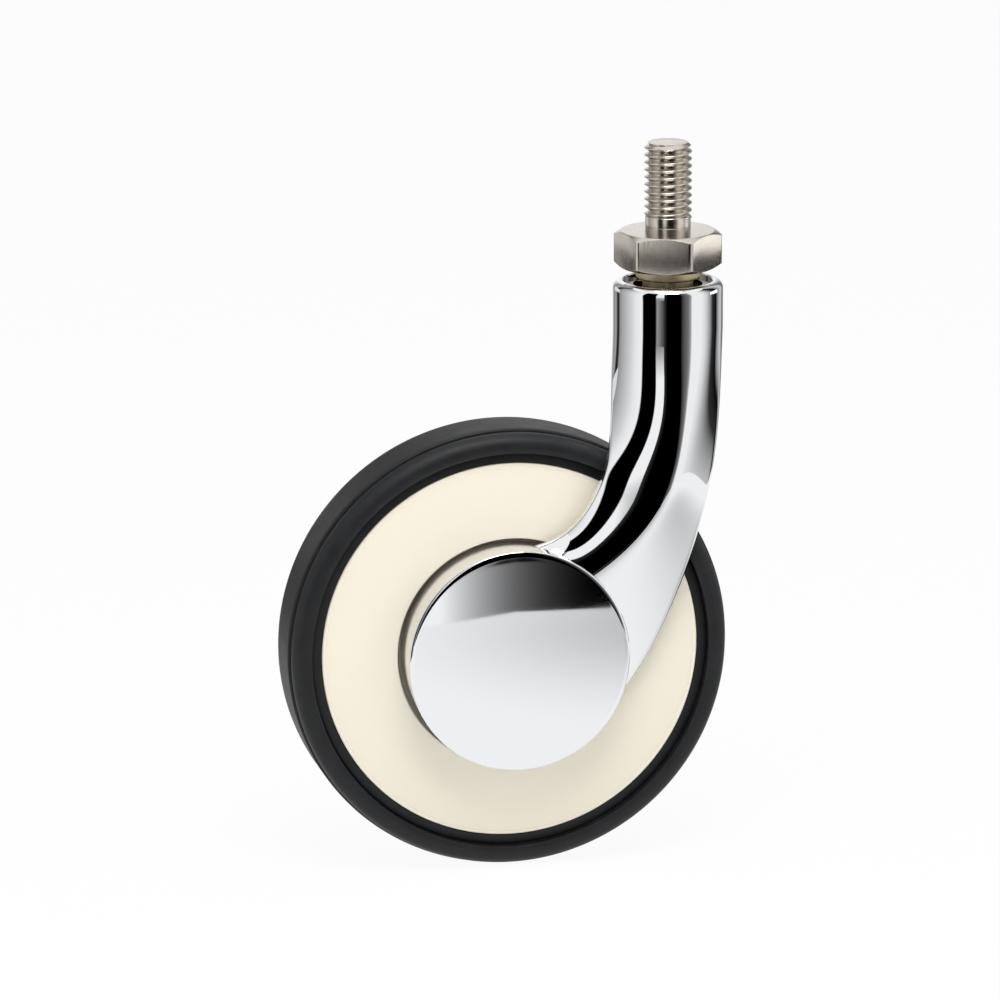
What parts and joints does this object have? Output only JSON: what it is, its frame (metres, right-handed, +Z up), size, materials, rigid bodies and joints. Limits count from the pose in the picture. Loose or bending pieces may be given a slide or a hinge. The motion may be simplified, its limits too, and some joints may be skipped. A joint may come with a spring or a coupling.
{
  "type": "castor wheel",
  "caption": "Single-arm furniture castor: threaded stem, swivelling chrome arm and cream wheel with a black rubber tyre.",
  "frame": {"origin": "on the stem axis, in the plane of the hexagon's top face, which seats against the furniture", "axes": "+Z up along the threaded stem; the wheel trails towards -X; the arm passes the wheel on the -Y side"},
  "size_m": [0.0755, 0.0237, 0.1223],
  "materials": {
    "nickel_plate": "bright nickel plating",
    "chrome_plate": "mirror-bright chrome plating",
    "cream_moulding": "gloss moulded plastic",
    "black_rubber": "matt black rubber",
    "bearing_steel": "ground bearing steel",
    "turned_steel": "turned steel",
    "spring_steel": "bronzed spring steel",
    "shield_steel": "pressed sheet steel",
    "cage_moulding": "moulded cage plastic"
  },
  "bodies": {
    "stem": {"threaded_stem": "nickel_plate", "swivel_inner_ring_upper": "bearing_steel", "swivel_inner_ring_lower": "bearing_steel", "swivel_spacer": "turned_steel", "spindle_retaining_ring": "spring_steel"},
    "swivel_balls": {"swivel_balls_upper": "bearing_steel", "swivel_balls_lower": "bearing_steel", "swivel_cage_upper": "cage_moulding", "swivel_cage_lower": "cage_moulding"},
    "arm": {"arm": "chrome_plate", "boss_cap": "chrome_plate", "axle_pin": "turned_steel", "axle_washer": "turned_steel", "axle_retaining_ring": "spring_steel", "housing_circlip": "spring_steel", "swivel_outer_ring_upper": "bearing_steel", "swivel_outer_ring_lower": "bearing_steel", "swivel_shields_upper": "shield_steel", "swivel_shields_lower": "shield_steel", "wheel_inner_ring_near": "bearing_steel", "wheel_inner_ring_far": "bearing_steel", "wheel_spacer": "turned_steel"},
    "wheel_balls": {"wheel_balls_near": "bearing_steel", "wheel_balls_far": "bearing_steel", "wheel_cage_near": "cage_moulding", "wheel_cage_far": "cage_moulding"},
    "wheel": {"wheel_core": "cream_moulding", "tyre": "black_rubber", "hub_cover": "cream_moulding", "wheel_outer_ring_near": "bearing_steel", "wheel_outer_ring_far": "bearing_steel", "wheel_shields_near": "shield_steel", "wheel_shields_far": "shield_steel"}
  },
  "joints": [
    {"name": "swivel", "type": "hinge", "parent": "stem", "child": "arm", "pos_m": [0, 0, -0.0135], "axis": [0, 0, 1], "continuous": true},
    {"name": "swivel_ball_train", "type": "hinge", "parent": "stem", "child": "swivel_balls", "pos_m": [0, 0, -0.0135], "axis": [0, 0, 1], "continuous": true},
    {"name": "wheel_spin", "type": "hinge", "parent": "arm", "child": "wheel", "pos_m": [-0.0285, 0, -0.0696], "axis": [0, 1, 0], "continuous": true},
    {"name": "wheel_ball_train", "type": "hinge", "parent": "arm", "child": "wheel_balls", "pos_m": [-0.0285, 0, -0.0696], "axis": [0, 1, 0], "continuous": true}
  ],
  "couplings": [
    {"joint": "swivel_ball_train", "follows": "swivel", "ratio": 0.6143},
    {"joint": "wheel_ball_train", "follows": "wheel_spin", "ratio": 0.5833}
  ]
}
